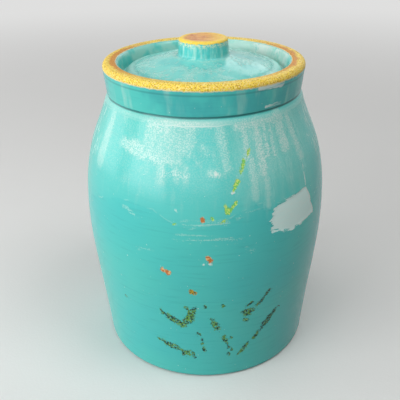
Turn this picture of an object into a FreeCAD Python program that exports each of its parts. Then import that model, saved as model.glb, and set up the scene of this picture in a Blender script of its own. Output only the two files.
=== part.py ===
import FreeCAD, Part
import math
import os

from FreeCAD import Vector

os.makedirs("parts", exist_ok=True)

# Lengths are in millimetres and slopes are radius gained per height climbed.
# The jar stands on Z = 0 with its axis on Z, and every outline is drawn in the XZ plane.

# Jar: barrel
foot_radius = 84.9
foot_edge_round = 3.0
foot_ring_width = 11.0
foot_recess_depth = 2.2
foot_recess_round = 1.0
foot_slope = 0.086
foot_reach = 66.0
belly_radius = 95.0
belly_height = 116.0
belly_reach_down = 27.0
belly_reach_up = 59.0
wall = 9.0
floor_thickness = 10.5
floor_corner_round = 14.0

# Jar: shoulder, incised line and collar
neck_radius = 73.8
neck_height = 210.4
neck_slope = -0.26
neck_reach = 28.0
line_width = 1.7
line_depth = 1.3
line_bottom_round = 0.5
collar_radius = 73.4
collar_height = 21.4
lip_radius = 75.6
lip_outer_round = 3.6
lip_inner_round = 4.4
mouth_radius = 63.6

# Jar: gallery, the ledge inside the collar that carries the lid
gallery_depth = 13.5
gallery_radius = 60.6
gallery_corner_round = 1.0
throat_radius = 52.0
throat_edge_round = 1.6
gallery_thickness = 8.0
gallery_under_slope = 0.8

# Lid
lid_gap = 2.5
lid_edge_height = 6.2
lid_edge_round = 4.0
lid_under_round = 1.0
lid_crown_height = 16.6
lid_thickness = 9.0
seat_width = 12.0
knob_radius = 18.3
knob_flare = 0.7
knob_foot_round = 2.0
knob_height = 11.5
knob_top_round = 2.2
knob_dish_depth = 0.7

# Fits and levels that follow from the sizes above
line_top = neck_height + line_width
rim_height = line_top + collar_height
seat_height = rim_height - gallery_depth
lid_radius = gallery_radius - lid_gap


def point(radius, height):
    return Vector(radius, 0, height)


def rounded(corners):
    """Straight runs through (radius, height) corners. A third value rounds that corner."""
    edges = []
    start = point(*corners[0][:2])
    for before, here, after in zip(corners, corners[1:], corners[2:]):
        corner = point(*here[:2])
        if len(here) == 2:
            edges.append(Part.makeLine(start, corner))
            start = corner
            continue
        radius = here[2]
        back = (point(*before[:2]) - corner).normalize()
        ahead = (point(*after[:2]) - corner).normalize()
        half_angle = back.getAngle(ahead) / 2
        run = radius / math.tan(half_angle)
        to_arc = radius / math.sin(half_angle) - radius
        arc_start = corner + back * run
        arc_middle = corner + (back + ahead).normalize() * to_arc
        arc_end = corner + ahead * run
        edges.append(Part.makeLine(start, arc_start))
        edges.append(Part.Arc(arc_start, arc_middle, arc_end).toShape())
        start = arc_end
    edges.append(Part.makeLine(start, point(*corners[-1][:2])))
    return edges


def bezier(*poles):
    curve = Part.BezierCurve()
    curve.setPoles([point(radius, height) for radius, height in poles])
    return curve


def last_parameter(curve, is_inside):
    """Parameter where a curve that starts inside a region leaves it."""
    low, high = curve.FirstParameter, curve.LastParameter
    for _ in range(60):
        middle = (low + high) / 2
        if is_inside(curve.value(middle)):
            low = middle
        else:
            high = middle
    return low


def inner_face(curve, first, last):
    """A stretch of the barrel's outside, moved inwards by the wall."""
    inner = curve.copy()
    inner.segment(first, last)
    inner.translate(Vector(-wall, 0, 0))
    return inner


def revolve(edges):
    face = Part.Face(Part.Wire(edges))
    return face.revolve(Vector(0, 0, 0), Vector(0, 0, 1), 360)


def barrel_curves():
    """Outside of the barrel: foot to belly, and belly to the neck under the incised line."""
    start_height = 2 * foot_edge_round
    start_radius = foot_radius + foot_slope * start_height
    lower = bezier(
        (start_radius, start_height),
        (foot_radius + foot_slope * foot_reach, foot_reach),
        (belly_radius, belly_height - belly_reach_down),
        (belly_radius, belly_height),
    )
    upper = bezier(
        (belly_radius, belly_height),
        (belly_radius, belly_height + belly_reach_up),
        (neck_radius - neck_slope * neck_reach, neck_height - neck_reach),
        (neck_radius, neck_height),
    )
    return lower, upper


def make_jar_body():
    lower, upper = barrel_curves()
    foot_start = lower.value(lower.FirstParameter)

    # The inside is the barrel moved in by the wall. It runs from above the floor's corner
    # up to where it meets the cone under the gallery.
    inside_start = floor_thickness + floor_corner_round
    gallery_underside = seat_height - gallery_thickness

    def is_under_gallery(outside):
        reach = outside.x - wall - throat_radius
        return outside.z < gallery_underside - gallery_under_slope * reach

    first = last_parameter(lower, lambda outside: outside.z < inside_start)
    last = last_parameter(upper, is_under_gallery)
    inner_lower = inner_face(lower, first, lower.LastParameter)
    inner_upper = inner_face(upper, upper.FirstParameter, last)
    inner_foot = inner_lower.value(inner_lower.FirstParameter)
    inner_neck = inner_upper.value(inner_upper.LastParameter)
    foot_tangent = inner_lower.tangent(inner_lower.FirstParameter)[0]
    floor_corner = inner_foot - foot_tangent * ((inner_foot.z - floor_thickness) / foot_tangent.z)

    foot_ring_radius = foot_radius - foot_ring_width
    foot = rounded([
        (0, foot_recess_depth),
        (foot_ring_radius - foot_recess_depth, foot_recess_depth, foot_recess_round),
        (foot_ring_radius, 0, foot_recess_round),
        (foot_radius, 0, foot_edge_round),
        (foot_start.x, foot_start.z),
    ])
    collar = rounded([
        (neck_radius, neck_height),
        (collar_radius - line_depth, neck_height + line_width / 2, line_bottom_round),
        (collar_radius, line_top),
        (lip_radius, rim_height, lip_outer_round),
        (mouth_radius, rim_height, lip_inner_round),
        (gallery_radius, seat_height, gallery_corner_round),
        (throat_radius, seat_height, throat_edge_round),
        (throat_radius, gallery_underside, throat_edge_round),
        (inner_neck.x, inner_neck.z),
    ])
    floor = rounded([
        (inner_foot.x, inner_foot.z),
        (floor_corner.x, floor_thickness, floor_corner_round),
        (0, floor_thickness),
    ])
    axis = [Part.makeLine(point(0, floor_thickness), point(0, foot_recess_depth))]
    inside = [inner_upper.toShape(), inner_lower.toShape()]
    barrel = [lower.toShape(), upper.toShape()]
    return revolve(foot + barrel + collar + inside + floor + axis)


def dome_height(radius, crown, ball):
    """Height of a spherical dome whose crown is on the axis."""
    return crown - ball + math.sqrt(ball ** 2 - radius ** 2)


def dome_arc(from_radius, to_radius, crown, ball):
    radii = (from_radius, (from_radius + to_radius) / 2, to_radius)
    return Part.Arc(*[point(r, dome_height(r, crown, ball)) for r in radii]).toShape()


def make_lid():
    crown = seat_height + lid_crown_height
    rise = lid_crown_height - lid_edge_height
    ball = (lid_radius ** 2 + rise ** 2) / (2 * rise)

    # The dome stops short of the edge and of the knob, and tangent runs lead on to both corners.
    dome_edge = lid_radius - lid_edge_round
    dome_knob = knob_radius + knob_flare + 2 * knob_foot_round
    edge_height = dome_height(dome_edge, crown, ball)
    knob_foot_height = dome_height(dome_knob, crown, ball)
    edge_drop = dome_edge / (edge_height - crown + ball) * (lid_radius - dome_edge)
    foot_climb = dome_knob / (knob_foot_height - crown + ball) * (dome_knob - knob_radius - knob_flare)
    knob_top = crown + knob_height

    under_radius = lid_radius - seat_width
    under_crown = crown - lid_thickness
    under_rise = under_crown - seat_height
    under_ball = (under_radius ** 2 + under_rise ** 2) / (2 * under_rise)

    edge = rounded([
        (under_radius, seat_height),
        (lid_radius, seat_height, lid_under_round),
        (lid_radius, edge_height - edge_drop, lid_edge_round),
        (dome_edge, edge_height),
    ])
    dome = [dome_arc(dome_edge, dome_knob, crown, ball)]
    dish_radius = knob_radius - 2 * knob_top_round
    dish_ball = (dish_radius ** 2 + knob_dish_depth ** 2) / (2 * knob_dish_depth)
    dish_middle = knob_top - knob_dish_depth + dish_ball - math.sqrt(dish_ball ** 2 - dish_radius ** 2 / 4)
    knob = rounded([
        (dome_knob, knob_foot_height),
        (knob_radius + knob_flare, knob_foot_height + foot_climb, knob_foot_round),
        (knob_radius, knob_top, knob_top_round),
        (dish_radius, knob_top),
    ])
    dish = [Part.Arc(
        point(dish_radius, knob_top),
        point(dish_radius / 2, dish_middle),
        point(0, knob_top - knob_dish_depth),
    ).toShape()]
    axis = [Part.makeLine(point(0, knob_top - knob_dish_depth), point(0, under_crown))]
    hollow = [dome_arc(0, under_radius, under_crown, under_ball)]
    return revolve(edge + dome + knob + dish + axis + hollow)


def main():
    for name, shape in (("jar_body", make_jar_body()), ("lid", make_lid())):
        shape.exportStep(f"parts/{name}.step")


main()
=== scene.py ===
import math

import bmesh
import bpy
import numpy as np
from mathutils import Matrix, Vector


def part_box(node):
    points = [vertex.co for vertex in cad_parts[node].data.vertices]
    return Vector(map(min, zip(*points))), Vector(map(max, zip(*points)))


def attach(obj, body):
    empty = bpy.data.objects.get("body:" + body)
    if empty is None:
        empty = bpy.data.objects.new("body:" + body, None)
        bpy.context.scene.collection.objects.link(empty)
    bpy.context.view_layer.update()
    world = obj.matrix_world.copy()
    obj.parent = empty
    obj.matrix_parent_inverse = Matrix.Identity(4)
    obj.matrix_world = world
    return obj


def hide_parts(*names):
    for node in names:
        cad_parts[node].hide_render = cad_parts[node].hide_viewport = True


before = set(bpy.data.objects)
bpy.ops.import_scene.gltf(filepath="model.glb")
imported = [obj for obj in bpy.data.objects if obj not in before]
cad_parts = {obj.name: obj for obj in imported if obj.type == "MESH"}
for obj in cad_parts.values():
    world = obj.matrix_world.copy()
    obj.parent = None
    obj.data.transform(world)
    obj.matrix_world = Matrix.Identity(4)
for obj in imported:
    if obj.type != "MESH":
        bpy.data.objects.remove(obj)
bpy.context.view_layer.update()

MM = 0.001
DEG = math.pi / 180

# The camera stands in front of the jar on -Y and looks down at it.
CAMERA_DISTANCE = 0.444
CAMERA_HEIGHT = 0.3426
CAMERA_TILT = 27.23 * DEG
CAMERA_TURN = -0.53 * DEG
CAMERA_ROLL = -0.79 * DEG
FOCAL_LENGTH = 54.0
SENSOR_WIDTH = 36.0

# Mesh density of the turned pieces. Front segments are finer than those behind.
SEGMENTS = 300
FRONT_CROWDING = 0.45

JAR_LOW, JAR_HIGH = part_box("jar_body")
LID_LOW, LID_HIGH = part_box("lid")
BELLY_RADIUS = JAR_HIGH.x
RIM_HEIGHT = JAR_HIGH.z
SEAT_HEIGHT = LID_LOW.z

# How much the incised line climbs for each metre towards +X
LINE_SLOPE = 0.0103

# Unevenness of hand throwing on the jar, as depths and sizes in metres
ROLL_DEPTH, ROLL_HEIGHT = 0.85 * MM, 4.2 * MM
THROWING_DEPTH, THROWING_PITCH = 0.07 * MM, 7 * MM
SWELL_DEPTH, SWELL_SIZE = 0.2 * MM, 60 * MM
DRIP_DEPTH = 0.10 * MM
PATCH_DEPTH, PATCH_EDGE = 0.22 * MM, 0.12 * MM

# The same on the lid: dips in its dome, the ring turned inside its edge, and the knob
DIP_DEPTH, DIP_SIZE = 0.22 * MM, 14 * MM
RING_DEPTH, RING_INSET, RING_WIDTH = 0.75 * MM, 6.2 * MM, 1.5 * MM
KNOB_TOP_DEPTH, KNOB_SIDE_DEPTH = 0.12 * MM, 0.2 * MM

# Wear on the barrel. Places are (angle in degrees from the front towards +X, height in mm), and
# each mark tapers from one place and radius in mm to another.
DARK_GREEN_MARKS = [
    ((-20.5, 64), (-15.8, 59.5), 1.6, 2.7), ((-15.8, 59.5), (-11, 54.5), 2.7, 2.6),
    ((-11, 55), (-8, 62), 1.8, 3.6), ((-8, 62), (-5.4, 72), 3.6, 1.8), ((-9.5, 73), (-7, 70), 0.9, 1.0),
    ((2.5, 62), (3.6, 59.5), 0.8, 0.8), ((3.7, 57.5), (5.4, 52.5), 1.9, 2.8),
    ((8.4, 42), (10.2, 36), 2.1, 1.5), ((10.8, 34), (11.4, 30.5), 1.1, 1.5),
    ((12.2, 41), (12.8, 40.5), 1.0, 0.9), ((12.9, 29), (13.1, 28), 1.1, 1.0),
    ((11.5, 24), (11.7, 23), 1.4, 1.3), ((18.6, 65.5), (22.6, 65), 2.6, 1.8),
    ((19.2, 62.5), (21.4, 61.5), 1.9, 1.2), ((18.9, 57.2), (20.6, 55.6), 1.8, 1.1),
    ((19.6, 71), (22, 73), 1.2, 1.0), ((24.6, 69.5), (26.4, 71.5), 1.6, 1.3),
    ((26.4, 71.5), (28, 75), 0.8, 0.8), ((28, 75), (30.2, 80), 1.1, 1.6),
    ((36.2, 58), (34.8, 55), 1.2, 1.6), ((34.4, 54), (32, 50), 2.0, 2.6),
    ((32, 49.5), (29.8, 46.5), 2.8, 2.6), ((28.7, 43.5), (28, 41.5), 1.2, 1.1),
    ((27, 40), (24.8, 35), 1.9, 2.1), ((38, 59), (38.2, 58.6), 1.0, 0.9),
    ((20.8, 29.5), (19.2, 26), 1.2, 2.4), ((19, 25.5), (15.9, 20.5), 1.2, 0.8),
    ((21.4, 31.5), (21.4, 30.5), 0.9, 0.8), ((-25, 36), (-21.4, 33.5), 1.1, 1.4),
    ((-20.8, 32.5), (-14.8, 29.8), 2.0, 2.6), ((-14.5, 29.5), (-12.6, 27.5), 1.3, 1.2),
    ((-11, 25.5), (-7.4, 25.8), 3.0, 2.4), ((-7.2, 24), (-5.8, 21), 1.3, 1.1),
    ((-3.6, 47), (-3, 45.5), 1.2, 1.0), ((-2.4, 41), (-2.2, 40), 0.9, 0.8),
    ((-2, 37), (-1.8, 36), 1.0, 0.9), ((-1.4, 33), (-1.2, 32), 0.9, 0.8),
    ((-1, 29.5), (-0.8, 28.5), 1.1, 1.0), ((-21.6, 66.5), (-21.3, 66), 1.1, 1.0),
    ((-0.5, 74.5), (-0.3, 72.6), 1.0, 0.9), ((7.8, 74), (8.2, 73.6), 1.3, 1.2),
    ((-42.4, 67), (-42, 66.8), 1.1, 1.0),
]
BRIGHT_GREEN_MARKS = [
    ((20.9, 189.5), (20.6, 187), 1.7, 1.2), ((18.4, 184), (16.2, 177), 1.9, 1.6),
    ((14.6, 172), (12.6, 166.5), 2.0, 1.7), ((13.4, 158), (9.8, 151.5), 1.2, 2.2),
    ((8.4, 156), (9.2, 151), 1.2, 1.8), ((3.2, 148.4), (3.2, 147), 1.0, 1.0),
    ((6.9, 144.4), (8.8, 146), 1.0, 1.2), ((-13, 143), (-12.6, 143), 0.9, 0.9),
]
ORANGE_MARKS = [
    ((-1, 148.4), (-1, 146), 1.3, 1.4), ((-19, 105.4), (-16, 103), 1.6, 1.8),
    ((0.9, 118.4), (2, 114.8), 1.5, 1.8), ((-6.4, 88), (-4.8, 86.6), 2.0, 1.6),
]
WHITE_AND_GLINT_MARKS = [
    ((12.4, 165), (11.6, 164.2), 1.1, 1.0), ((1.8, 113), (2.2, 112.4), 1.1, 1.0),
    ((-0.8, 112.4), (-0.6, 112.4), 0.9, 0.8), ((4.8, 177.4), (4.9, 176.6), 1.3, 1.3),
    ((52, 171), (51.6, 155), 0.6, 0.7), ((-43, 87), (-42.8, 87), 0.8, 0.8),
    # The last two marks, high on the right, are painted highlights on the collar, one just under the yellow
    # lip.
    ((-12.4, 153), (-11.6, 151.5), 0.9, 0.8), ((29, 228.4), (45.5, 227.8), 1.3, 1.6),
    ((34, 214.4), (45.5, 214.2), 0.8, 1.0),
]
# In the same form: smears on the shoulder, partly chalky paint and partly painted highlight and
# painted reflection streaks; places where white grains of painted highlight gather; and scratched
# places further down.
CHALK_AND_SHEEN_SMEARS = [
    ((20.5, 206), (20, 186), 2.5, 3), ((27, 207), (27, 174), 3.4, 4), ((31.6, 206), (31, 183), 1.5, 1.8),
    ((35.2, 206), (35, 184), 1.5, 2), ((41.5, 207), (42.5, 187), 4.4, 5), ((28, 172), (28, 152), 2.4, 3),
    ((22, 184), (22, 160), 2.4, 3.4), ((-57, 203), (-59, 172), 4, 6), ((-27, 205), (-7, 205), 6, 5),
    ((-26, 196), (-9, 197), 9, 8), ((-38, 190), (-13, 186), 4, 5), ((-20, 182), (-19.6, 171), 3.2, 3),
    ((-13, 181), (-12.6, 173), 2.4, 2), ((-8.6, 180), (-8.6, 171), 2, 2), ((8, 204), (10, 180), 4, 3),
    ((49, 204), (52, 176), 3, 3), ((-44, 190), (-30, 187), 3, 4), ((-29, 204), (-18, 203), 3, 3),
    ((16, 205), (44, 205), 3, 3), ((2, 178), (8, 176), 1.5, 1.5),
]
GLINT_PLACES = [
    ((-43, 190), (-33, 187.5), 3.2, 4.2), ((-29, 205), (-19, 203.5), 3, 3.2),
    ((-30, 184.5), (-16, 184), 2, 2.2), ((-26, 206.5), (4, 207), 1.6, 1.6), ((27, 201), (27.5, 178), 2, 3),
    ((31.6, 204), (31, 184), 1, 1.2), ((-20, 176), (-8, 176), 1.6, 1.6), ((4, 177.5), (5.6, 177), 3, 2.6),
    ((41, 190), (44, 189), 2, 2),
]
SCRATCHED_PLACES = [
    ((-12, 132), (10, 133), 3, 2.8), ((-9, 144), (9, 144), 2, 1.8), ((-38, 149), (-30, 142), 1, 1),
    ((14, 147), (24, 152), 1, 1), ((4, 128), (16, 130), 1.2, 1), ((-30, 118), (-18, 119), 1.2, 1),
    ((18, 122), (21, 120), 1, 1),
]
# Corners of the bare patch, anticlockwise seen from outside.
PATCH_CORNERS = [
    (58.6, 129.3), (52.1, 153.3), (35, 151.3), (31.5, 147.6), (29.4, 140.7), (29.9, 131.1), (41.4, 127.1),
]


def unrolled(place):
    """(angle, height) as metres on the unrolled barrel."""
    angle, height = place
    return np.array([angle * DEG * BELLY_RADIUS, height * MM, 0.0])


def patch_sides():
    """Outward normal and offset of each side of the bare patch on the unrolled barrel."""
    corners = [unrolled(place) for place in PATCH_CORNERS]
    for here, ahead in zip(corners, corners[1:] + corners[:1]):
        along = (ahead - here) / np.linalg.norm(ahead - here)
        normal = np.array([along[1], -along[0], 0.0])
        yield normal, float(normal @ here)


# Outlines

def cad_outline(node):
    """(radius, height) points of a turned node's section, from the axis below round to the axis above."""
    mesh = bmesh.new()
    mesh.from_mesh(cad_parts[node].data)
    bmesh.ops.remove_doubles(mesh, verts=mesh.verts, dist=2e-6)
    for normal in ((1, 0, 0), (0, 1, 0)):
        everything = mesh.verts[:] + mesh.edges[:] + mesh.faces[:]
        cut = bmesh.ops.bisect_plane(
            mesh, geom=everything, dist=1e-6, plane_co=(0, 0, 0), plane_no=normal)["geom_cut"]
    links = {}
    for edge in cut:
        if not isinstance(edge, bmesh.types.BMEdge):
            continue
        a, b = edge.verts
        if a.co.x < -1e-6 or b.co.x < -1e-6:
            continue
        links.setdefault(a, []).append(b)
        links.setdefault(b, []).append(a)
    ends = sorted((v for v in links if v.co.x < 1e-6), key=lambda v: v.co.z)
    chain = [ends[0]]
    previous = None
    while chain[-1] is not ends[-1]:
        following = [v for v in links[chain[-1]] if v is not previous]
        previous = chain[-1]
        chain.append(following[0])
    points = np.array([(v.co.x, v.co.z) for v in chain])
    mesh.free()
    return points


def distances_along(rows):
    """Distance along an outline to each of its points."""
    return np.concatenate([[0], np.cumsum(np.linalg.norm(np.diff(rows, axis=0), axis=1))])


def resample(points, spacing):
    """Smooth curve through an outline, with sharp corners kept. spacing(radius, height) is the step."""
    steps = np.linalg.norm(np.diff(points, axis=0), axis=1)
    points = points[np.concatenate([[True], steps > 0.02 * MM])]
    legs = np.diff(points, axis=0)
    lengths = np.linalg.norm(legs, axis=1)
    headings = np.arctan2(legs[:, 1], legs[:, 0])
    turns = np.abs((np.diff(headings) + math.pi) % (2 * math.pi) - math.pi)
    corners = [0] + [i + 1 for i, turn in enumerate(turns) if turn > 38 * DEG] + [len(points) - 1]
    rows = [points[0]]
    for first, last in zip(corners, corners[1:]):
        run = points[first:last + 1]
        leg = lengths[first:last]
        tangents = np.zeros_like(run)
        slopes = np.diff(run, axis=0) / leg[:, None]
        tangents[0], tangents[-1] = slopes[0], slopes[-1]
        if len(run) > 2:
            before, after = leg[:-1, None], leg[1:, None]
            tangents[1:-1] = (slopes[:-1] * after + slopes[1:] * before) / (before + after)
        for i, length in enumerate(leg):
            middle = (run[i] + run[i + 1]) / 2
            count = max(1, round(length / spacing(middle[0], middle[1])))
            for t in np.arange(1, count + 1) / count:
                rows.append(
                    (2 * t ** 3 - 3 * t ** 2 + 1) * run[i] + (t ** 3 - 2 * t ** 2 + t) * length * tangents[i]
                    + (3 * t ** 2 - 2 * t ** 3) * run[i + 1] + (t ** 3 - t ** 2) * length * tangents[i + 1])
    rows = np.array(rows)
    # Points that crowd closer than the step are left out.
    kept = [0]
    for i in range(1, len(rows) - 1):
        gap = np.linalg.norm(rows[i] - rows[kept[-1]])
        ahead = np.linalg.norm(rows[i + 1] - rows[kept[-1]])
        step = spacing(rows[i][0], rows[i][1])
        if gap >= 0.6 * step or ahead > 1.5 * step:
            kept.append(i)
    kept.append(len(rows) - 1)
    return rows[kept]


# Noise

def lattice_noise(points, seed):
    """Smooth random values from -1 to 1 at points given in units of one cell."""
    cell = np.floor(points).astype(np.int64)
    part = points - cell
    part = part * part * (3 - 2 * part)
    total = np.zeros(len(points))
    for corner in np.ndindex(2, 2, 2):
        at = cell + corner
        mixed = at[:, 0] * 73856093 ^ at[:, 1] * 19349663 ^ at[:, 2] * 83492791 ^ seed * 2654435761
        mixed = (mixed ^ (mixed >> 13)) * 1274126177 & 0x7FFFFFFF
        value = ((mixed ^ (mixed >> 16)) & 0xFFFF) / 32767.5 - 1
        weight = np.prod(np.where(corner, part, 1 - part), axis=1)
        total += weight * value
    return total


def bumps(points, size, seed, octaves=2):
    """Random swells of a given size in metres."""
    total = np.zeros(len(points))
    for octave in range(octaves):
        total += lattice_noise(points / (size / 2 ** octave) + 7.3 * octave, seed + octave) / 2 ** octave
    return total / 1.6


def smooth_step(value, low, high):
    t = np.clip((value - low) / (high - low), 0, 1)
    return t * t * (3 - 2 * t)


# Turned pieces

def turned(name, rows, shape, measures):
    """Closed mesh of an outline turned about Z.

    shape(points, angle, radius, run) moves the points a little, and each of the measures, called the
    same way, is kept on the mesh under its name."""
    count = len(rows)
    t = np.arange(SEGMENTS) / SEGMENTS * 2 * math.pi - math.pi
    angle = t - FRONT_CROWDING * np.sin(t)
    ring = rows[1:-1]
    angles = np.tile(angle, len(ring))
    radius = np.repeat(ring[:, 0], SEGMENTS)
    height = np.repeat(ring[:, 1], SEGMENTS)
    places = np.stack([radius * np.sin(angles), -radius * np.cos(angles), height], axis=1)
    poles = np.array([(0, 0, rows[0][1]), (0, 0, rows[-1][1])])
    along = distances_along(rows)
    points = np.concatenate([poles, places])
    run = np.concatenate([[along[0], along[-1]], np.repeat(along[1:-1], SEGMENTS)])
    angles = np.concatenate([[0, 0], angles])
    radii = np.concatenate([[0, 0], radius])
    kept = {label: measure(points, angles, radii, run) for label, measure in measures.items()}
    points = shape(points, angles, radii, run)
    faces = []
    last_ring = 2 + (count - 3) * SEGMENTS
    for i in range(SEGMENTS):
        j = (i + 1) % SEGMENTS
        faces.append((0, 2 + j, 2 + i))
        faces.append((1, last_ring + i, last_ring + j))
    for row in range(count - 3):
        a = 2 + row * SEGMENTS
        b = a + SEGMENTS
        for i in range(SEGMENTS):
            j = (i + 1) % SEGMENTS
            faces.append((a + i, a + j, b + j, b + i))
    mesh = bpy.data.meshes.new(name)
    mesh.from_pydata(points.tolist(), [], faces)
    mesh.update()
    for label, values in {"run": run, **kept}.items():
        layer = mesh.attributes.new(label, "FLOAT", "POINT")
        layer.data.foreach_set("value", values.astype(np.float32))
    mesh.shade_smooth()
    piece = bpy.data.objects.new(name, mesh)
    bpy.context.scene.collection.objects.link(piece)
    return piece


# Jar outline and the levels read from it
jar_points = cad_outline("jar_body")
crest = int(np.argmax(jar_points[:, 1]))
outer_side = jar_points[:crest + 1]
# The recess under the foot lies further in than the rest of the outside.
outer_side = outer_side[outer_side[:, 0] > 0.72 * BELLY_RADIUS]
OUTER_RADII, OUTER_HEIGHTS = outer_side.T
near_line = (OUTER_HEIGHTS > 0.85 * RIM_HEIGHT) & (OUTER_HEIGHTS < 0.95 * RIM_HEIGHT)
# The bottom of the incised line is the innermost point of the outside near there.
LINE_HEIGHT = min(outer_side[near_line].tolist())[1]


def outer_radius(height):
    return np.interp(height, OUTER_HEIGHTS, OUTER_RADII)


def jar_spacing(radius, height):
    """Coarse inside the jar, fine on the collar and finest at the incised line."""
    if radius < outer_radius(height) - 4 * MM and height < SEAT_HEIGHT + 2 * MM:
        return 6.5 * MM
    if height > LINE_HEIGHT + 12 * MM:
        return 0.85 * MM
    if height > LINE_HEIGHT - 6 * MM:
        return 0.7 * MM
    return 1.1 * MM


def lid_spacing(radius, height):
    return 3.0 * MM if height < SEAT_HEIGHT + 0.5 * MM else 0.9 * MM


def polygon_depth(places):
    """Distance out of the bare patch, negative inside it, for points on the unrolled barrel."""
    return np.max([places @ normal - offset for normal, offset in patch_sides()], axis=0)


def unroll(points, angle):
    return np.stack([angle * BELLY_RADIUS, points[:, 2], 0 * angle], axis=1)


def stroke_distance(strokes):
    """Measure for turned(): distance to the nearest of some strokes, negative inside one."""
    def measure(points, angle, radius, run):
        places = unroll(points, angle)
        nearest = np.full(len(points), BELLY_RADIUS)
        for start, end, start_radius, end_radius in strokes:
            # The end is moved on a little, so that no stroke has a length of zero.
            start, end = unrolled(start), unrolled(end) + 0.05 * MM
            along = end - start
            share = np.clip((places - start) @ along / (along @ along), 0, 1)
            width = (start_radius + share * (end_radius - start_radius)) * MM
            gap = np.linalg.norm(places - start - share[:, None] * along, axis=1) - width
            nearest = np.minimum(nearest, gap)
        return np.where(radius > outer_radius(points[:, 2]) - 3 * MM, nearest, BELLY_RADIUS)
    return measure


def patch_distance(points, angle, radius, run):
    return polygon_depth(unroll(points, angle))


def shape_jar(points, angle, radius, run):
    height = points[:, 2].copy()
    outwards = np.stack([np.sin(angle), -np.cos(angle), np.zeros(len(angle))], axis=1)
    on_outside = radius > outer_radius(height) - 3 * MM
    # The lip under the incised line rolls in towards it.
    below_line = LINE_HEIGHT - 0.9 * MM - height
    roll = np.clip(1 - below_line / ROLL_HEIGHT, 0, 1)
    inset = np.where(below_line > -0.2 * MM, ROLL_DEPTH * roll ** 2.2, 0)
    # Throwing marks, and slow swells left by hands.
    spiral = np.stack([0 * height + 3.1, 0 * height, height + angle * 0.9 * MM], axis=1)
    inset += THROWING_DEPTH * (1 + bumps(spiral, THROWING_PITCH, 3, 1))
    inset += SWELL_DEPTH * (1 + bumps(points, SWELL_SIZE, 11))
    # Drips of thick paint under the shoulder line.
    drip = np.stack([radius * np.sin(angle) / 7, -radius * np.cos(angle) / 7, height / 90], axis=1)
    on_shoulder = smooth_step(height, 140 * MM, 175 * MM)
    inset += DRIP_DEPTH * on_shoulder * (1 + lattice_noise(drip / MM, 41))
    # The bare patch lies a little deeper, inside a raised edge of paint.
    edge = patch_distance(points, angle, radius, run) + 1.2 * MM * bumps(points, 9 * MM, 31)
    inset += PATCH_DEPTH * smooth_step(-edge, -0.6 * MM, 0.9 * MM)
    inset -= PATCH_EDGE * np.exp(-((edge - 1.2 * MM) / (1.3 * MM)) ** 2)
    points = points - outwards * (np.maximum(inset, 0) * on_outside)[:, None]
    # The incised line isn't quite level: it was cut by hand and climbs towards +X.
    near = np.exp(-((height - LINE_HEIGHT) / (7 * MM)) ** 2)
    points[:, 2] += on_outside * near * LINE_SLOPE * points[:, 0]
    return points


def shape_lid(points, angle, radius, run):
    edge_radius = LID_HIGH.x
    top = smooth_step(points[:, 2], SEAT_HEIGHT + 4.5 * MM, SEAT_HEIGHT + 6.5 * MM)
    off_knob = smooth_step(radius, 21 * MM, 26 * MM)
    dip = DIP_DEPTH * (1 + bumps(points, DIP_SIZE, 23)) * top * off_knob
    # A shallow ring is turned inside the edge, which leaves a bead round the lid.
    ring = np.exp(-((radius - edge_radius + RING_INSET) / RING_WIDTH) ** 2)
    dip += RING_DEPTH * ring * top
    knob = smooth_step(points[:, 2], LID_HIGH.z - 8 * MM, LID_HIGH.z - 1 * MM) * (1 - off_knob)
    dip += KNOB_TOP_DEPTH * (1 + bumps(points, 7 * MM, 29)) * knob
    points = points.copy()
    points[:, 2] -= dip
    side = (1 - off_knob) * smooth_step(radius, 14 * MM, 17 * MM)
    squeeze = KNOB_SIDE_DEPTH * (1 + bumps(points, 11 * MM, 37)) * side / np.maximum(radius, MM)
    points[:, :2] *= (1 - squeeze)[:, None]
    return points


jar_rows = resample(jar_points, jar_spacing)
lid_rows = resample(cad_outline("lid"), lid_spacing)
jar_rows[:, 1] = np.clip(jar_rows[:, 1], JAR_LOW.z, JAR_HIGH.z)
lid_rows[:, 1] = np.clip(lid_rows[:, 1], LID_LOW.z, LID_HIGH.z)
jar = turned("jar_skin", jar_rows, shape_jar, {
    "dark_green": stroke_distance(DARK_GREEN_MARKS),
    "bright_green": stroke_distance(BRIGHT_GREEN_MARKS),
    "orange": stroke_distance(ORANGE_MARKS),
    "white_and_glint": stroke_distance(WHITE_AND_GLINT_MARKS),
    "smear_and_sheen": stroke_distance(CHALK_AND_SHEEN_SMEARS),
    "scratch": stroke_distance(SCRATCHED_PLACES),
    "glint_place": stroke_distance(GLINT_PLACES),
    "patch": patch_distance,
})
lid = turned("lid_skin", lid_rows, shape_lid, {})


def run_at(rows, chosen):
    """Distance along an outline to the first of its rows that the test picks."""
    along = distances_along(rows)
    return float(next(s for s, (radius, height) in zip(along, rows) if chosen(radius, height, s)))


CREST_RUN = run_at(jar_rows, lambda radius, height, s: height >= jar_rows[:, 1].max())
THROAT_RUN = run_at(jar_rows, lambda radius, height, s: s > CREST_RUN and height < SEAT_HEIGHT - 1.2 * MM)
FOOT_RUN = run_at(jar_rows, lambda radius, height, s: radius > outer_radius(0.02 * RIM_HEIGHT) - 5 * MM)
LID_EDGE_RUN = run_at(lid_rows, lambda radius, height, s: radius > LID_HIGH.x - 0.3 * MM)


# Materials

def rgb(red, green, blue):
    """sRGB of 0 to 255 as a linear colour."""
    def linear(value):
        value /= 255
        return value / 12.92 if value <= 0.04045 else ((value + 0.055) / 1.055) ** 2.4
    return (linear(red), linear(green), linear(blue), 1.0)


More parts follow.
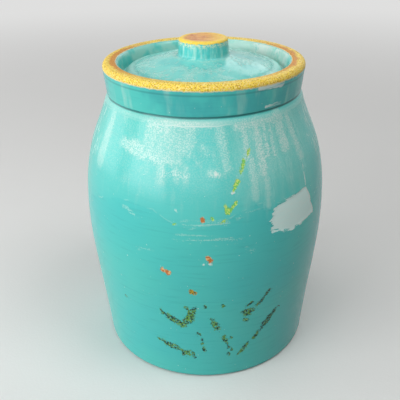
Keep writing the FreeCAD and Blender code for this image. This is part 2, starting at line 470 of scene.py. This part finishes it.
class Nodes:
    """Short calls that add nodes to one node tree."""

    def __init__(self, tree):
        self.tree = tree

    def node(self, kind, **settings):
        made = self.tree.nodes.new("ShaderNode" + kind)
        for key, value in settings.items():
            setattr(made, key, value)
        return made

    def put(self, value, socket):
        if isinstance(value, bpy.types.NodeSocket):
            self.tree.links.new(value, socket)
        else:
            socket.default_value = value

    def math(self, operation, a, b=0.0, clamp=False):
        made = self.node("Math", operation=operation, use_clamp=clamp)
        self.put(a, made.inputs[0])
        self.put(b, made.inputs[1])
        return made.outputs[0]

    def vector(self, operation, a, b=(0, 0, 0), output=0):
        made = self.node("VectorMath", operation=operation)
        self.put(a, made.inputs[0])
        self.put(b, made.inputs[1])
        return made.outputs[output]

    def add(self, *values):
        total = values[0]
        for value in values[1:]:
            total = self.math("ADD", total, value)
        return total

    def times(self, *values):
        total = values[0]
        for value in values[1:]:
            total = self.math("MULTIPLY", total, value)
        return total

    def most(self, *values):
        total = values[0]
        for value in values[1:]:
            total = self.math("MAXIMUM", total, value)
        return total

    def invert(self, value):
        return self.math("SUBTRACT", 1.0, value)

    def step(self, value, low, high):
        """0 at low and 1 at high, smooth between. low may be the larger."""
        made = self.node("MapRange", interpolation_type="SMOOTHSTEP")
        self.put(value, made.inputs["Value"])
        made.inputs["From Min"].default_value = min(low, high)
        made.inputs["From Max"].default_value = max(low, high)
        made.inputs["To Min"].default_value = 0.0 if low < high else 1.0
        made.inputs["To Max"].default_value = 1.0 if low < high else 0.0
        return made.outputs["Result"]

    def band(self, value, low, high, soft):
        """1 between low and high and 0 outside, with soft borders."""
        rising = self.step(value, low - soft, low + soft)
        falling = self.step(value, high + soft, high - soft)
        return self.times(rising, falling)

    def mix(self, factor, a, b):
        made = self.node("Mix", data_type="RGBA")
        self.put(factor, made.inputs[0])
        self.put(a, made.inputs[6])
        self.put(b, made.inputs[7])
        return made.outputs[2]


class Look(Nodes):
    """A material whose patterns are placed in the object's own space."""

    def __init__(self, name):
        self.material = bpy.data.materials.new(name)
        self.material.use_nodes = True
        super().__init__(self.material.node_tree)
        self.shader = self.tree.nodes["Principled BSDF"]
        self.place = self.node("TexCoord").outputs["Object"]
        split = self.node("SeparateXYZ")
        self.put(self.place, split.inputs[0])
        self.x, self.y, self.height = split.outputs
        self.angle = self.math("ARCTAN2", self.x, self.times(self.y, -1.0))
        self.run = self.kept("run")

    def kept(self, name):
        """What turned() kept on the mesh under a name."""
        return self.node("Attribute", attribute_name=name).outputs["Fac"]

    def noise(self, size, detail=2.0, roughness=0.5, stretch=(1, 1, 1), seed=0.0):
        """Noise from 0 to 1 with features of about size metres, drawn out where stretch is over 1."""
        made = self.node("TexNoise", noise_dimensions="3D")
        spread = self.vector("MULTIPLY", self.place, tuple(1 / (size * s) for s in stretch))
        self.put(self.vector("ADD", spread, (seed * 3.7, seed * 1.9, seed * 5.3)), made.inputs["Vector"])
        made.inputs["Scale"].default_value = 1.0
        made.inputs["Detail"].default_value = detail
        made.inputs["Roughness"].default_value = roughness
        return made.outputs["Fac"]

    def wander(self, noise, amount):
        return self.times(self.math("SUBTRACT", noise, 0.5), amount * 2)

    def mark(self, name, wobble, soft=0.25 * MM):
        """1 inside the strokes kept under a name and 0 outside, with a wobbling edge."""
        return self.step(self.add(self.kept(name), wobble), soft, -soft)

    def finish(self, colour, roughness, relief, specular=0.5):
        """relief is a height in millimetres."""
        self.put(colour, self.shader.inputs["Base Color"])
        self.put(roughness, self.shader.inputs["Roughness"])
        self.shader.inputs["Specular IOR Level"].default_value = specular
        bump = self.node("Bump")
        bump.inputs["Strength"].default_value = 1.0
        bump.inputs["Distance"].default_value = MM
        self.put(relief, bump.inputs["Height"])
        self.put(bump.outputs["Normal"], self.shader.inputs["Normal"])
        return self.material


TURQUOISE = rgb(76, 200, 196)
TURQUOISE_GREEN = rgb(84, 205, 195)
TURQUOISE_DEEP = rgb(42, 150, 148)
CHALK = rgb(172, 224, 212)
LID_COAT = rgb(134, 222, 212)
LID_SHADE = rgb(84, 140, 132)
PALE_COAT_AND_SHEEN = rgb(104, 212, 202)
BLOOM_AND_SHEEN = rgb(174, 224, 214)
WHITE = rgb(236, 246, 238)
LINE_SHADE = rgb(22, 92, 94)
PATCH_GREY = rgb(222, 252, 246)
GREEN_BLACK = rgb(5, 56, 56)
OLIVE = rgb(98, 152, 62)
PALE_OLIVE = rgb(176, 222, 130)
BRIGHT_GREEN = rgb(120, 206, 96)
YELLOW_GREEN = rgb(206, 232, 120)
ORANGE_BROWN = rgb(196, 118, 62)
OCHRE = rgb(198, 162, 40)
PALE_ORANGE = rgb(234, 190, 134)
COLLAR_BLUE = rgb(46, 150, 164)
LIP_YELLOW = rgb(254, 223, 78)
LIP_ORANGE = rgb(222, 150, 50)
LIP_WORN = rgb(208, 126, 36)
LIP_SPECK = rgb(150, 112, 24)
LIP_CREAM = rgb(240, 232, 190)
CLAY = rgb(198, 142, 100)
DARK_CLAY = rgb(170, 116, 80)
PALE_CLAY = rgb(214, 170, 128)
KNOB_CLAY = rgb(232, 172, 84)
KNOB_BROWN = rgb(198, 110, 50)
GLAZE_CREAM = rgb(226, 208, 160)
GLAZE_TAN = rgb(210, 184, 126)
CRACKLE_BROWN = rgb(150, 112, 66)

# Specular level of the paint, a little under glazed ceramic's 0.5
PAINT_GLOSS = 0.34

# Lower edge of the paler band of painted reflection on the shoulder, and how far its arcs rise above that
SHEEN_EDGE_HEIGHT, SHEEN_ARC_HEIGHT = 141 * MM, 13 * MM
# How far the yellow of the lip reaches down from its crest, on the outside and on the inside
LIP_OUTSIDE, LIP_INSIDE = 6.1 * MM, 6.8 * MM
# Angles from the front between which the worn look goes over into one made of noise alone
BEHIND = (62 * DEG, 74 * DEG)


def painted_ground(look):
    """Brushed turquoise: its colour, its relief in millimetres, and the noise of the brush."""
    broad = look.noise(70 * MM, 2, seed=1)
    brush = look.noise(1.6 * MM, 3, stretch=(14, 14, 1), seed=2)
    colour = look.mix(look.step(broad, 0.3, 0.7), TURQUOISE, TURQUOISE_GREEN)
    colour = look.mix(look.times(look.step(brush, 0.5, 0.8), 0.22), colour, TURQUOISE_DEEP)
    peel = look.noise(2.6 * MM, 2, seed=3)
    relief = look.add(look.times(peel, 0.02), look.times(brush, 0.012))
    return colour, relief, brush


def jar_paint():
    look = Look("jar_paint_look")
    colour, relief, brush = painted_ground(look)
    fine = look.noise(0.9 * MM, 2, 0.6, seed=4)
    ragged = look.noise(3 * MM, 3, 0.6, seed=5)
    coarse = look.noise(9 * MM, 2, seed=6)
    streaks = look.noise(4.5 * MM, 3, 0.55, stretch=(1, 1, 11), seed=7)
    cloud = look.noise(26 * MM, 3, 0.6, stretch=(1, 1, 1.6), seed=8)
    height = look.height
    behind = look.step(look.math("ABSOLUTE", look.angle), *BEHIND)

    # Pale bloom on the shoulder: the listed smears in front, partly chalky paint and partly painted
    # highlight and painted reflection, and like chalky ones from noise all round.
    fade = look.step(look.add(height, look.wander(streaks, 26 * MM)), 146 * MM, 186 * MM)
    below_line = look.step(height, LINE_HEIGHT, LINE_HEIGHT - 3 * MM)
    bloom = look.times(look.step(streaks, 0.48, 0.72), look.step(cloud, 0.38, 0.62), fade, below_line)
    bloom = look.times(bloom, look.add(0.30, look.times(behind, 0.35)))
    smear_edge = look.add(look.wander(ragged, 2.4 * MM), look.wander(streaks, 3 * MM))
    smear_and_sheen = look.mark("smear_and_sheen", smear_edge, 2.4 * MM)
    # The smears are painted brighter on the right of the shoulder: painted reflection streaks of a window.
    right_side = look.step(look.angle, 10 * DEG, 18 * DEG)
    smear_and_sheen = look.times(smear_and_sheen, look.add(0.06, look.times(streaks, 0.64), look.times(right_side, 0.26)))
    # A paler band of painted reflection, drawn as a thinner pale coat, ends in shallow arcs above the belly,
    # with a broken pale line at its edge.
    arc = look.math("SINE", look.times(look.add(look.angle, 5 * DEG), 3.0))
    arc_rise = look.times(look.math("POWER", look.math("ABSOLUTE", arc), 2.0), SHEEN_ARC_HEIGHT)
    above_edge = look.math("SUBTRACT", height, look.add(SHEEN_EDGE_HEIGHT, arc_rise))
    above_edge = look.add(above_edge, look.wander(cloud, 6 * MM), look.wander(ragged, 1.2 * MM))
    crisp = look.step(above_edge, -0.4 * MM, 1 * MM)
    soft = look.step(above_edge, -7 * MM, 11 * MM)
    film = look.times(look.add(look.times(crisp, 0.24), look.times(soft, 0.20)), below_line)
    sheen_edge_line = look.band(above_edge, -0.2 * MM, 0.6 * MM, 0.5 * MM)
    sheen_edge_line = look.times(sheen_edge_line, look.step(coarse, 0.50, 0.6), 0.35)
    # A pale band of painted highlight along the upturned shoulder just under the incised line, brightest in
    # front on the left.
    ledge_highlight = look.times(look.step(height, LINE_HEIGHT - 6.5 * MM, LINE_HEIGHT - 3.5 * MM), below_line)
    front_left = look.band(look.angle, -26 * DEG, 8 * DEG, 12 * DEG)
    ledge_highlight = look.times(ledge_highlight, look.add(0.16, look.times(cloud, 0.45), look.times(front_left, 0.5)))
    # A thin broken line of white painted highlight runs just below the rolled lip, mostly in front on the
    # left.
    line_height = look.add(height, look.times(look.x, -LINE_SLOPE))
    thread_height = look.add(line_height, look.wander(coarse, 1.2 * MM))
    highlight_thread = look.band(thread_height, LINE_HEIGHT - 5.4 * MM, LINE_HEIGHT - 4.7 * MM, 0.45 * MM)
    highlight_thread = look.times(highlight_thread, look.step(look.add(cloud, look.wander(ragged, 0.3)), 0.40, 0.52))
    highlight_thread = look.times(highlight_thread, look.add(0.25, look.times(front_left, 0.55)))
    # White speckles of painted highlight on the upper shoulder, gathered in the smears, the bloom and the
    # listed glint places.
    glint_place = look.mark("glint_place", look.add(look.wander(ragged, 3 * MM), look.wander(fine, 2 * MM)), 1.6 * MM)
    glint_amount = look.add(look.times(look.most(smear_and_sheen, bloom), 0.9), look.times(glint_place, 0.55), 0.14)
    high_up = look.step(height, 148 * MM, 184 * MM)
    glint_speckle = look.times(look.step(fine, 0.44, 0.66), glint_amount, high_up, below_line)
    scratch = look.mark("scratch", look.wander(ragged, 3 * MM), 1.5 * MM)
    scratch = look.times(scratch, look.step(look.add(brush, look.wander(fine, 0.3)), 0.5, 0.66), 0.7)
    # Pale upright streaks on the right of the shoulder: painted reflection of a window, broken by the drips.
    drip_sheen = look.step(look.add(height, look.wander(streaks, 22 * MM)), 138 * MM, 180 * MM)
    drip_sheen = look.times(drip_sheen, look.band(look.angle, 14 * DEG, 58 * DEG, 5 * DEG), below_line)
    drip_sheen = look.times(drip_sheen, look.add(0.02, look.times(streaks, 0.56)))
    # The pale haze joins the bloom and scratches with the painted highlight band, the painted reflection
    # streaks and the edge line of the painted reflection.
    haze_and_sheen = look.most(bloom, smear_and_sheen, ledge_highlight, scratch, sheen_edge_line, drip_sheen)
    colour = look.mix(film, colour, PALE_COAT_AND_SHEEN)
    colour = look.mix(haze_and_sheen, colour, BLOOM_AND_SHEEN)
    colour = look.mix(look.most(look.math("MINIMUM", glint_speckle, 0.6), highlight_thread), colour, WHITE)

    # Collar: faint upright smudges, painted shade in the incised line, and a darker line under the lip.
    on_collar = look.step(height, LINE_HEIGHT, LINE_HEIGHT + 2 * MM)
    upright = look.noise(9 * MM, 3, stretch=(1, 1, 4), seed=9)
    smudge = look.times(on_collar, look.step(upright, 0.50, 0.75), 0.5)
    bluer = look.times(on_collar, look.step(cloud, 0.48, 0.64), 0.35)
    colour = look.mix(bluer, colour, COLLAR_BLUE)
    colour = look.mix(smudge, colour, CHALK)
    line = look.band(line_height, LINE_HEIGHT - 0.8 * MM, LINE_HEIGHT + 0.7 * MM, 0.4 * MM)
    line = look.times(line, 0.8)
    from_crest = look.math("SUBTRACT", look.run, CREST_RUN)
    under_lip = look.band(from_crest, -9.6 * MM, -8.4 * MM, 0.5 * MM)
    colour = look.mix(look.most(line, look.times(under_lip, 0.35)), colour, LINE_SHADE)

    # White specks all over, the listed white marks, two of which are painted highlights, flecks of the older
    # green and orange coats, and the bare patch.
    grit = look.noise(1.1 * MM, 1, seed=12)
    specks = look.step(look.noise(1.3 * MM, 0, seed=10), 0.855, 0.885)
    whites_and_glints = look.mark("white_and_glint", look.wander(ragged, 1.2 * MM), 0.4 * MM)
    whites_and_glints = look.times(whites_and_glints, look.step(brush, 0.75, 0.45), 0.8)
    colour = look.mix(look.most(look.times(specks, 0.6), whites_and_glints), colour, WHITE)
    chips = look.add(look.wander(ragged, 2.6 * MM), look.wander(fine, 2.2 * MM))
    dark_green = look.mark("dark_green", chips)
    curds = look.noise(1.9 * MM, 1, seed=14)
    spatter = look.times(look.mark("dark_green", -2.2 * MM), look.step(grit, 0.70, 0.75))
    dark_green = look.most(look.times(dark_green, look.step(grit, 0.36, 0.44)), look.times(spatter, 0.8))
    to_right = look.step(look.angle, 24 * DEG, 30 * DEG)
    to_olive = look.times(look.step(curds, 0.46, 0.53), look.invert(look.times(to_right, 0.75)))
    olive = look.mix(to_olive, GREEN_BLACK, OLIVE)
    dark_green_colour = look.mix(look.step(fine, 0.60, 0.66), olive, PALE_OLIVE)
    bright_green = look.mark("bright_green", look.add(look.times(chips, 0.9), 0.35 * MM))
    bright_green_colour = look.mix(look.step(grit, 0.45, 0.58), BRIGHT_GREEN, YELLOW_GREEN)
    orange = look.mark("orange", look.times(chips, 0.7))
    low_orange = look.step(height, 100 * MM, 95 * MM)
    orange_colour = look.mix(low_orange, ORANGE_BROWN, OCHRE)
    to_pale_orange = look.times(look.step(curds, 0.52, 0.60), look.invert(low_orange))
    orange_colour = look.mix(to_pale_orange, orange_colour, PALE_ORANGE)
    orange_colour = look.mix(look.times(look.step(fine, 0.50, 0.58), low_orange), orange_colour, GREEN_BLACK)
    colour = look.mix(dark_green, colour, dark_green_colour)
    colour = look.mix(bright_green, colour, bright_green_colour)
    colour = look.mix(orange, colour, orange_colour)
    torn = look.step(look.angle, 53 * DEG, 33 * DEG)
    tear = look.noise(1.5 * MM, 3, 0.7, stretch=(5, 5, 1), seed=13)
    patch_edge = look.add(
        look.kept("patch"), look.wander(coarse, 1.8 * MM),
        look.times(look.wander(tear, 5 * MM), look.add(0.15, torn)))
    patch = look.step(patch_edge, 0.25 * MM, -0.25 * MM)
    patch_colour = look.mix(look.times(look.step(tear, 0.45, 0.75), 0.35), PATCH_GREY, WHITE)
    colour = look.mix(patch, colour, patch_colour)
    rim_of_patch = look.times(look.band(patch_edge, -0.5 * MM, 0.5 * MM, 0.3 * MM), look.invert(torn))
    colour = look.mix(look.times(rim_of_patch, 0.8), colour, WHITE)

    # Lip: grainy yellow outside, worn to orange inside, with a cream line at both borders.
    edge = look.add(from_crest, look.wander(ragged, 0.9 * MM))
    lip = look.band(edge, -LIP_OUTSIDE, LIP_INSIDE, 0.25 * MM)
    inner = look.step(look.add(from_crest, look.wander(coarse, 3 * MM)), 0.8 * MM, 3.2 * MM)
    inner = look.times(inner, look.step(look.y, -75 * MM, -20 * MM), look.step(look.y, 60 * MM, 25 * MM))
    lip_colour = look.mix(look.times(look.step(grit, 0.48, 0.66), 0.5), LIP_YELLOW, LIP_ORANGE)
    lip_colour = look.mix(look.times(inner, 0.85), lip_colour, LIP_WORN)
    lip_colour = look.mix(look.times(look.step(fine, 0.53, 0.61), 0.7), lip_colour, LIP_SPECK)
    cream_specks = look.times(look.step(fine, 0.46, 0.36), look.invert(inner), 0.7)
    lip_colour = look.mix(cream_specks, lip_colour, LIP_CREAM)
    cream_outside = look.band(edge, -LIP_OUTSIDE - 0.3 * MM, -LIP_OUTSIDE + 0.4 * MM, 0.25 * MM)
    cream_inside = look.band(edge, LIP_INSIDE - 0.4 * MM, LIP_INSIDE + 0.2 * MM, 0.25 * MM)
    cream = look.most(cream_outside, cream_inside)
    colour = look.mix(lip, colour, lip_colour)
    colour = look.mix(look.times(cream, 0.85), colour, LIP_CREAM)

    # Inside the collar: a paler coat and dry pale blotches, with painted light on the back wall to the
    # right, which faces the light.
    inside = look.step(from_crest, 7 * MM, 8 * MM)
    colour = look.mix(look.times(inside, 0.6), colour, PALE_COAT_AND_SHEEN)
    to_lit_wall = look.band(look.angle, 94 * DEG, 176 * DEG, 10 * DEG)
    pale = look.times(inside, to_lit_wall, look.step(look.add(cloud, look.wander(ragged, 0.3)), 0.26, 0.50))
    colour = look.mix(look.times(pale, 0.85), colour, WHITE)
    dry = look.times(inside, look.step(look.noise(12 * MM, 3, seed=15), 0.36, 0.60), 0.75)
    colour = look.mix(dry, colour, CHALK)

    # The paint stops in a ragged line on the foot.
    paint_end = look.add(look.run, look.wander(ragged, 2.5 * MM))
    bare_foot = look.step(paint_end, FOOT_RUN + 1.5 * MM, FOOT_RUN + 0.5 * MM)
    colour = look.mix(bare_foot, colour, CLAY)

    worn = look.most(dark_green, bright_green, orange, patch)
    roughness = look.add(0.17, look.times(haze_and_sheen, 0.20), look.times(cloud, 0.10))
    roughness = look.add(roughness, look.times(look.most(worn, lip, bare_foot), 0.30))
    relief = look.add(
        relief, look.times(worn, -0.12), look.times(haze_and_sheen, fine, 0.14), look.times(lip, grit, 0.35),
        look.times(rim_of_patch, 0.15), look.times(patch, tear, 0.18), look.times(whites_and_glints, 0.1))
    return look.finish(colour, roughness, relief, specular=PAINT_GLOSS)


def lid_paint():
    look = Look("lid_paint_look")
    colour, relief, _ = painted_ground(look)
    fine = look.noise(0.9 * MM, 2, 0.6, seed=21)
    ragged = look.noise(3 * MM, 3, 0.6, seed=22)
    blotch = look.noise(15 * MM, 3, 0.6, seed=23)
    streaks = look.noise(2.2 * MM, 3, 0.6, stretch=(1, 1, 9), seed=24)
    grit = look.noise(1.1 * MM, 1, seed=25)
    radius = look.vector("LENGTH", look.vector("MULTIPLY", look.place, (1, 1, 0)), (0, 0, 0), 1)
    off_knob = look.step(radius, 19.6 * MM, 21 * MM)

    # Dome: a thin light coat with dry pale blotches, and white specks of painted highlight, thickest in the
    # blotches.
    colour = look.mix(look.times(off_knob, 0.75), colour, LID_COAT)
    patches = look.step(look.noise(19 * MM, 2, seed=26), 0.50, 0.60)
    colour = look.mix(look.times(patches, off_knob, 0.55), colour, TURQUOISE)
    dry = look.step(look.add(blotch, look.wander(ragged, 0.3)), 0.46, 0.66)
    edge_band = look.step(look.add(radius, look.wander(ragged, 2 * MM)), 49 * MM, 52.5 * MM)
    film = look.times(look.most(look.times(dry, 0.45), look.times(edge_band, 0.5)), off_knob)
    colour = look.mix(film, colour, CHALK)
    specks = look.times(look.step(fine, 0.57, 0.66), look.add(0.10, look.times(dry, 0.85)), off_knob)
    colour = look.mix(specks, colour, WHITE)
    # Painted shade on the back right of the dome, cast there by the back of the collar.
    to_back_right = look.band(look.angle, 105 * DEG, 165 * DEG, 14 * DEG)
    painted_shade = look.times(look.band(radius, 22 * MM, 50 * MM, 4 * MM), look.step(ragged, 0.44, 0.6), 0.35)
    colour = look.mix(look.times(painted_shade, to_back_right), colour, LID_SHADE)
    # Painted shade in the ring turned inside the edge.
    ring = look.band(radius, 50.5 * MM, 52.2 * MM, 0.8 * MM)
    colour = look.mix(look.times(ring, look.step(ragged, 0.4, 0.6), 0.5), colour, TURQUOISE_DEEP)

    # Knob: upright brush streaks on its side, and bare worn clay on top.
    on_knob = look.invert(off_knob)
    on_side = look.times(on_knob, look.step(look.height, LID_HIGH.z - 3 * MM, LID_HIGH.z - 5 * MM))
    colour = look.mix(look.times(on_side, look.step(streaks, 0.48, 0.68), 0.7), colour, CHALK)
    colour = look.mix(look.times(on_side, look.step(streaks, 0.46, 0.30), 0.5), colour, TURQUOISE_DEEP)
    foot = look.times(look.band(radius, 19.4 * MM, 23 * MM, 1.5 * MM), look.step(ragged, 0.35, 0.6))
    colour = look.mix(look.times(foot, 0.55), colour, CHALK)
    level = look.add(look.height, look.wander(ragged, 0.8 * MM), look.wander(fine, 1.2 * MM))
    top = look.times(look.step(level, LID_HIGH.z - 2.1 * MM, LID_HIGH.z - 1.6 * MM), on_knob)
    dry_edge = look.times(look.step(level, LID_HIGH.z - 5.6 * MM, LID_HIGH.z - 2.2 * MM), on_knob)
    swirl = look.noise(3.4 * MM, 3, 0.6, stretch=(4, 1.4, 1), seed=27)
    clay = look.mix(look.step(swirl, 0.42, 0.62), KNOB_CLAY, KNOB_BROWN)
    rim_yellow = look.step(look.add(radius, look.wander(ragged, 3 * MM)), 12.2 * MM, 15.4 * MM)
    to_right = look.times(look.step(look.add(look.x, look.wander(swirl, 8 * MM)), 0, 14 * MM), 0.6)
    clay = look.mix(look.most(to_right, look.times(rim_yellow, 0.8)), clay, LIP_YELLOW)
    clay = look.mix(look.times(look.step(grit, 0.62, 0.70), 0.5), clay, LIP_CREAM)
    colour = look.mix(look.times(dry_edge, look.step(fine, 0.42, 0.58), 0.8), colour, LIP_CREAM)
    colour = look.mix(top, colour, clay)

    paint_end = look.add(look.run, look.wander(ragged, 2 * MM))
    bare_under = look.step(paint_end, LID_EDGE_RUN - 1 * MM, LID_EDGE_RUN - 2 * MM)
    colour = look.mix(bare_under, colour, CLAY)
    roughness = look.add(0.16, look.times(film, 0.35), look.times(look.most(top, bare_under), 0.3))
    relief = look.add(
        relief, look.times(specks, 0.16), look.times(dry, ragged, 0.35), look.times(top, swirl, 0.3),
        look.times(on_side, streaks, 0.12))
    return look.finish(colour, roughness, relief, specular=PAINT_GLOSS)


def bare_clay():
    look = Look("bare_clay_look")
    grain = look.noise(1.3 * MM, 4, 0.7, seed=31)
    rings = look.noise(5 * MM, 2, seed=32)
    colour = look.mix(look.step(grain, 0.35, 0.7), CLAY, DARK_CLAY)
    colour = look.mix(look.times(look.step(rings, 0.5, 0.7), 0.4), colour, PALE_CLAY)
    return look.finish(colour, look.add(0.62, look.times(grain, 0.2)), look.times(grain, 0.25))


def inside_glaze():
    look = Look("inside_glaze_look")
    crackle = look.noise(2.5 * MM, 3, 0.6, seed=41)
    pool = look.noise(45 * MM, 2, seed=42)
    colour = look.mix(look.step(pool, 0.35, 0.7), GLAZE_CREAM, GLAZE_TAN)
    colour = look.mix(look.times(look.step(crackle, 0.66, 0.74), 0.5), colour, CRACKLE_BROWN)
    return look.finish(colour, look.add(0.14, look.times(crackle, 0.08)), look.times(crackle, 0.06))


def assign(piece, materials, chosen):
    """Give each face the material whose index chosen(distance along the outline) returns."""
    for material in materials:
        piece.data.materials.append(material)
    run = np.empty(len(piece.data.vertices), dtype=np.float32)
    piece.data.attributes["run"].data.foreach_get("value", run)
    starts = np.empty(len(piece.data.polygons), dtype=np.int32)
    piece.data.polygons.foreach_get("loop_start", starts)
    corners = np.empty(len(piece.data.loops), dtype=np.int32)
    piece.data.loops.foreach_get("vertex_index", corners)
    face_run = run[corners[starts + 2]]
    piece.data.polygons.foreach_set("material_index", chosen(face_run).astype(np.int32))


clay = bare_clay()
assign(jar, [jar_paint(), clay, inside_glaze()],
       lambda run: np.where(run < FOOT_RUN - 4 * MM, 1, np.where(run > THROAT_RUN, 2, 0)))
assign(lid, [lid_paint(), clay], lambda run: np.where(run < LID_EDGE_RUN - 5 * MM, 1, 0))
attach(jar, "jar")
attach(lid, "lid")
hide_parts("jar_body")
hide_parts("lid")


# Floor, light and camera

BACKDROP = (0.74, 0.74, 0.735, 1)
AMBIENT = (0.13, 0.13, 0.13, 1)
FLOOR_PALE, FLOOR_PALER = (0.76, 0.76, 0.745, 1), (0.80, 0.80, 0.79, 1)
FLOOR_BOUNCE = (0.13, 0.13, 0.127, 1)
FLOOR_REACH = 12.0
# Distances from the jar between which the floor runs into the backdrop
FLOOR_FADE = (0.45, 1.7)

# Soft panels that face PANEL_AIM: name, azimuth from the front towards +X and elevation in degrees,
# distance, width and height in metres, and radiance.
PANELS = [
    ("key", -54, 13, 1.5, 1.1, 0.9, 4.6),
    ("front", -8, 14, 1.6, 1.2, 0.6, 2.3),
    ("right_window", 60, 62, 1.5, 0.6, 0.6, 5.2),
    ("left_window", -105, 10, 1.5, 1.0, 1.1, 2.0),
    ("overhead", -40, 78, 1.8, 1.6, 1.6, 1.2),
    ("back", 165, 28, 1.8, 1.0, 0.6, 1.8),
]
PANEL_AIM = Vector((0, 0, 0.16))


def shown_to(nodes, seen, hidden):
    """seen for camera, glossy and transmission rays, and hidden for light that lands on the object."""
    path = nodes.node("LightPath").outputs
    factor = nodes.most(path["Is Camera Ray"], path["Is Glossy Ray"], path["Is Transmission Ray"])
    return nodes.mix(factor, hidden, seen)


def make_floor():
    mesh = bpy.data.meshes.new("floor")
    reach = FLOOR_REACH
    corners = [(-reach, -reach, 0), (reach, -reach, 0), (reach, reach, 0), (-reach, reach, 0)]
    mesh.from_pydata(corners, [], [(0, 1, 2, 3)])
    floor = bpy.data.objects.new("floor", mesh)
    bpy.context.scene.collection.objects.link(floor)
    look = Look("floor_look")
    cloud = look.noise(0.3, 3, seed=51)
    pale = look.mix(cloud, FLOOR_PALE, FLOOR_PALER)
    grain = look.noise(2 * MM, 2, seed=52)
    look.finish(shown_to(look, pale, FLOOR_BOUNCE), 0.85, look.times(grain, 0.1), specular=0.2)
    # Far from the object the floor runs into a backdrop of the world's own colour.
    backdrop = look.node("Emission")
    look.put(shown_to(look, BACKDROP, AMBIENT), backdrop.inputs["Color"])
    blend = look.node("MixShader")
    distance = look.vector("LENGTH", look.place, (0, 0, 0), 1)
    look.put(look.step(distance, *FLOOR_FADE), blend.inputs["Fac"])
    look.put(look.shader.outputs[0], blend.inputs[1])
    look.put(backdrop.outputs[0], blend.inputs[2])
    look.put(blend.outputs[0], look.tree.nodes["Material Output"].inputs["Surface"])
    mesh.materials.append(look.material)


def soft_panel(name, azimuth, elevation, distance, size, radiance):
    """Rectangular light at an azimuth from the front towards +X, with size as (width, height)."""
    width, height = size
    lamp = bpy.data.lights.new(name, "AREA")
    lamp.shape = "RECTANGLE"
    lamp.size, lamp.size_y = width, height
    lamp.energy = radiance * math.pi * width * height
    panel = bpy.data.objects.new(name, lamp)
    bpy.context.scene.collection.objects.link(panel)
    flat = distance * math.cos(elevation)
    away = Vector((flat * math.sin(azimuth), -flat * math.cos(azimuth), distance * math.sin(elevation)))
    place = PANEL_AIM + away
    panel.location = place
    panel.rotation_euler = (PANEL_AIM - place).to_track_quat("-Z", "Y").to_euler()


def light_scene():
    world = bpy.data.worlds.new("world")
    bpy.context.scene.world = world
    world.use_nodes = True
    nodes = Nodes(world.node_tree)
    background = world.node_tree.nodes["Background"]
    nodes.put(shown_to(nodes, BACKDROP, AMBIENT), background.inputs["Color"])
    for name, azimuth, elevation, distance, width, height, radiance in PANELS:
        soft_panel(name, azimuth * DEG, elevation * DEG, distance, (width, height), radiance)


def set_camera():
    tilt, turn, roll = CAMERA_TILT, CAMERA_TURN, CAMERA_ROLL
    ahead = Vector((math.sin(turn) * math.cos(tilt), math.cos(turn) * math.cos(tilt), -math.sin(tilt)))
    level = Vector((math.cos(turn), -math.sin(turn), 0))
    upright = level.cross(ahead)
    right = level * math.cos(roll) + upright * math.sin(roll)
    up = upright * math.cos(roll) - level * math.sin(roll)
    data = bpy.data.cameras.new("camera")
    data.sensor_width = SENSOR_WIDTH
    data.lens = FOCAL_LENGTH
    camera = bpy.data.objects.new("camera", data)
    bpy.context.scene.collection.objects.link(camera)
    axes = Matrix((right, up, -ahead)).transposed()
    camera.matrix_world = Matrix.Translation((0, -CAMERA_DISTANCE, CAMERA_HEIGHT)) @ axes.to_4x4()
    bpy.context.scene.camera = camera


make_floor()
light_scene()
set_camera()
bpy.context.scene.view_settings.view_transform = "Standard"
